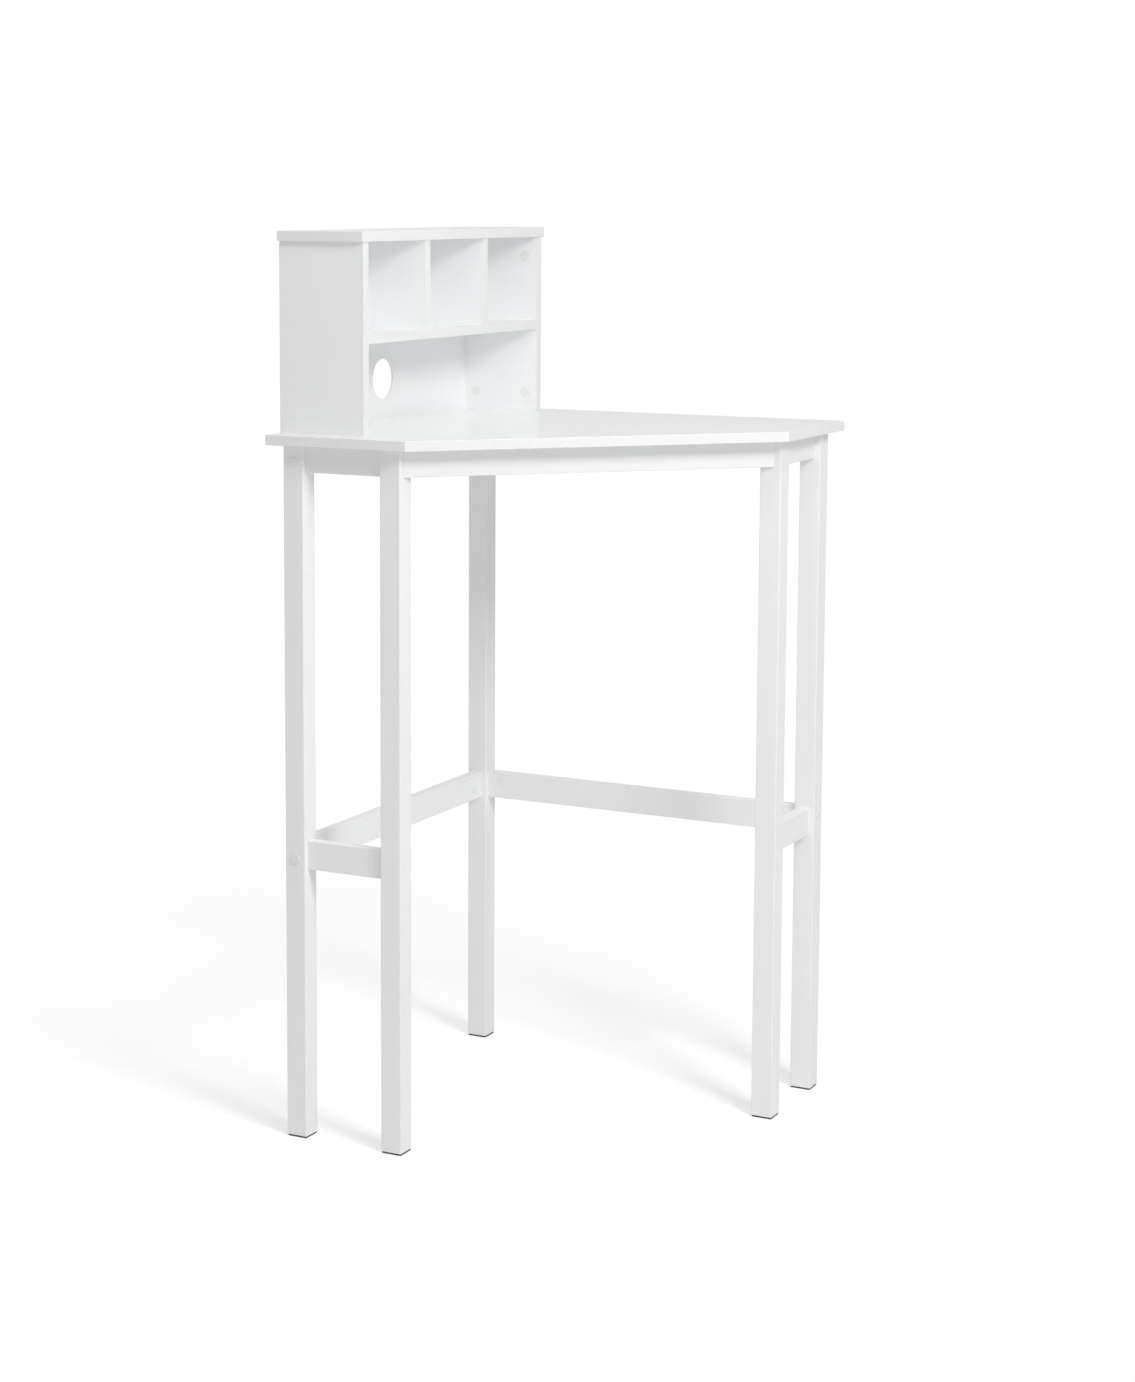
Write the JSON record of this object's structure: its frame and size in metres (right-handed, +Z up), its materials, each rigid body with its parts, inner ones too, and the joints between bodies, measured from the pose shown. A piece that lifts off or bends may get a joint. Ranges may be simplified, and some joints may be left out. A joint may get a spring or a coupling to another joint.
{
  "type": "corner desk",
  "caption": "Standing-height corner desk with a five-sided top on square legs and stretchers, with a small open hutch along one wall edge.",
  "frame": {"origin": "on the floor, under the middle of the square that the desktop is cut from", "axes": "+Z up; the room corner is at (-X, +Y), the hutch stands along the -X wall edge and opens towards +X"},
  "size_m": [0.645, 0.645, 1.343],
  "materials": {
    "desk_board": "white melamine on board, satin gloss",
    "hutch_board": "white melamine on board, satin",
    "back_panel": "white faced hardboard, satin",
    "lacquered_wood": "white lacquer on solid wood, satin",
    "glide_plastic": "matte",
    "cap_plastic": "satin",
    "zinc_steel": "zinc plated",
    "die_cast_zinc": "as cast",
    "beech": "bare beech"
  },
  "bodies": {
    "root": {"apron_back_wall": "lacquered_wood", "apron_brackets": "zinc_steel", "apron_front": "lacquered_wood", "apron_left_end": "lacquered_wood", "apron_left_wall": "lacquered_wood", "apron_right_end": "lacquered_wood", "barrel_nuts": "zinc_steel", "bolt_caps": "cap_plastic", "bracket_screws": "zinc_steel", "cam_bolts": "zinc_steel", "cam_caps": "cap_plastic", "cam_locks": "die_cast_zinc", "desktop": "desk_board", "desktop_screws": "zinc_steel", "glide_back_end": "glide_plastic", "glide_front_left": "glide_plastic", "glide_front_right": "glide_plastic", "glide_left_end": "glide_plastic", "glide_wall_corner": "glide_plastic", "hutch_back": "back_panel", "hutch_divider_1": "hutch_board", "hutch_divider_2": "hutch_board", "hutch_dowels": "beech", "hutch_far_side": "hutch_board", "hutch_near_side": "hutch_board", "hutch_shelf": "hutch_board", "hutch_top": "hutch_board", "leg_back_end": "lacquered_wood", "leg_bolts": "zinc_steel", "leg_front_left": "lacquered_wood", "leg_front_right": "lacquered_wood", "leg_left_end": "lacquered_wood", "leg_wall_corner": "lacquered_wood", "nut_caps": "cap_plastic", "rail_dowels": "beech", "stretcher_back_wall": "lacquered_wood", "stretcher_left_end": "lacquered_wood", "stretcher_left_wall": "lacquered_wood", "stretcher_right_end": "lacquered_wood"}
  },
  "joints": []
}
